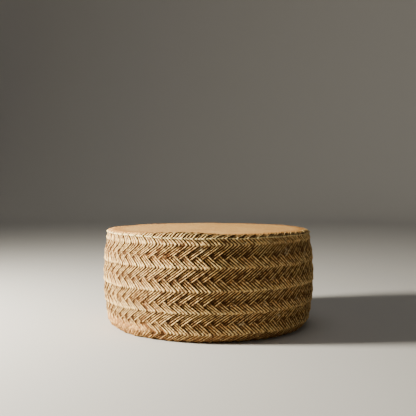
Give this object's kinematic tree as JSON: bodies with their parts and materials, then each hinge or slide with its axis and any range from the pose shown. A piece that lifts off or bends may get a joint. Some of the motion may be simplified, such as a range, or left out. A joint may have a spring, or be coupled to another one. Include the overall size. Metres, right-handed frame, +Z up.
{
  "type": "cheese wheel",
  "caption": "Whole wheel of pressed hard cheese with a barrel-shaped side, flat top and base, and the herringbone print of a plaited grass belt in its rind.",
  "frame": {"origin": "centre of the flat base, on the surface the wheel stands on", "axes": "+Z up along the wheel's axis from the base to the top face; the wheel is round, so +X and +Y are only two directions across it, with -Y towards the front"},
  "size_m": [0.2039, 0.2039, 0.092],
  "materials": {
    "rind": "dry matt natural rind, golden tan, darker brown in the grooves of the print"
  },
  "bodies": {
    "root": {"cheese_wheel": "rind"}
  },
  "joints": []
}
